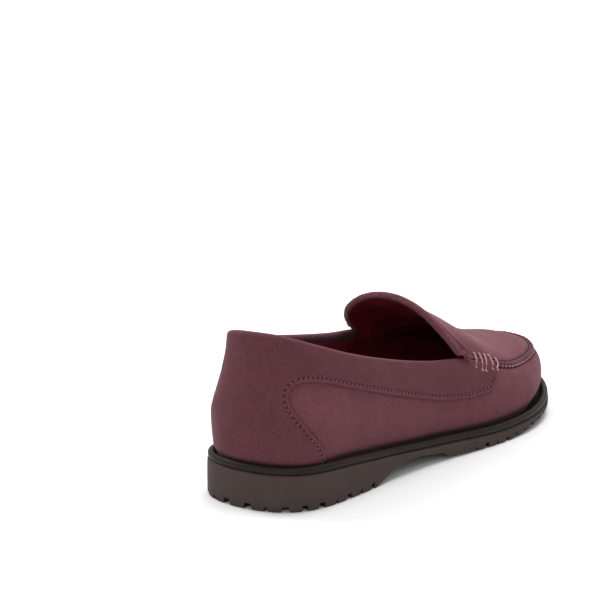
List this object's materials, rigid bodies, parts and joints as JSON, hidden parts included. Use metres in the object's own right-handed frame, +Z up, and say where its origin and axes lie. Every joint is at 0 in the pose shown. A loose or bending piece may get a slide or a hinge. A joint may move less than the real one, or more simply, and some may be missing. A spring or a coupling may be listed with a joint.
{
  "type": "penny loafer",
  "caption": "Right-foot moc-toe loafer in soft nubuck, with a raised apron seam, whip-stitched throat, springy tongue and lugged rubber sole.",
  "frame": {"origin": "on the ground, under the middle of the outsole's length and width", "axes": "+Z up, +Y from the heel to the toe, +X to the outer side of the right foot"},
  "size_m": [0.1077, 0.3, 0.101],
  "materials": {
    "nubuck": "matte napped",
    "lining_leather": "satin",
    "outsole_rubber": "matte",
    "welt_rubber": "satin",
    "stitch_cord": "waxed thread",
    "cork": "matte",
    "shank_steel": "brushed",
    "board": "matte",
    "foam": "matte",
    "stiffener": "matte"
  },
  "bodies": {
    "shoe": {"outsole": "outsole_rubber", "midsole": "welt_rubber", "cork_filler": "cork", "shank": "shank_steel", "insole_board": "board", "heel_pad": "foam", "footbed": "lining_leather", "vamp": "nubuck", "heel_collar": "nubuck", "heel_counter": "stiffener", "toe_puff": "stiffener", "collar_padding": "foam", "wall_lining": "lining_leather", "apron": "nubuck", "apron_lining": "lining_leather", "whip_stitch_outer_1": "stitch_cord", "whip_stitch_outer_2": "stitch_cord", "whip_stitch_outer_3": "stitch_cord", "whip_stitch_outer_4": "stitch_cord", "whip_stitch_outer_5": "stitch_cord", "whip_stitch_inner_1": "stitch_cord", "whip_stitch_inner_2": "stitch_cord", "whip_stitch_inner_3": "stitch_cord", "whip_stitch_inner_4": "stitch_cord", "whip_stitch_inner_5": "stitch_cord"},
    "tongue": {"tongue": "nubuck", "tongue_lining": "lining_leather"}
  },
  "joints": [
    {"name": "tongue_flex", "type": "hinge", "parent": "shoe", "child": "tongue", "pos_m": [0, 0.0215, 0.078], "axis": [-1, 0, 0], "range_deg": [-2, 12], "stiffness_Nm_per_rad": 0.4}
  ]
}
